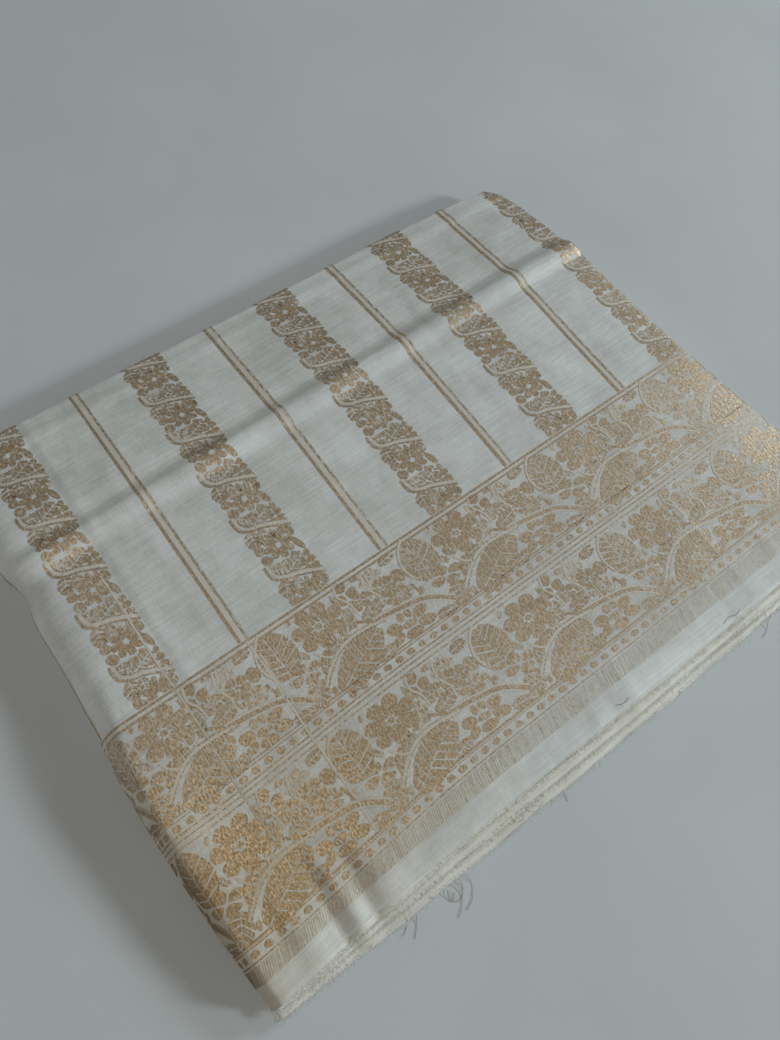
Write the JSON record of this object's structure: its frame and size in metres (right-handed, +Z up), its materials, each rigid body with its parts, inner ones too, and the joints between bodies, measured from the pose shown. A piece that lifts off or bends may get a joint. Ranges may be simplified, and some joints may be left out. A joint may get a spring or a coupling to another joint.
{
  "type": "folded raw silk saree",
  "caption": "Folded raw silk saree lying flat as a layered packet, with a woven gold border along its open selvedges and gold stripes across its field.",
  "frame": {"origin": "middle of the packet's plan, on the surface it lies on", "axes": "+X along the saree's length, from the left fold to the right fold; +Y from the open selvedges to the back fold; +Z up"},
  "size_m": [0.3658, 0.2908, 0.0259],
  "materials": {
    "zari_silk": "ivory raw silk with a woven antique gold border and stripes",
    "stripe_silk": "raw silk with a woven gold floral stripe along the fold",
    "plain_silk": "plain ivory raw silk, slubby, with loose ends at its edges",
    "layered_silk": "ivory raw silk layers pressed together"
  },
  "bodies": {
    "root": {"top_stretch": "zari_silk", "left_turn": "zari_silk", "right_turn": "stripe_silk", "under_stretch": "plain_silk", "core_layers": "layered_silk", "front_leaf_1": "plain_silk", "front_leaf_2": "plain_silk", "front_leaf_3": "plain_silk", "front_leaf_4": "plain_silk", "front_leaf_5": "plain_silk", "front_leaf_6": "plain_silk", "front_leaf_7": "plain_silk"}
  },
  "joints": []
}
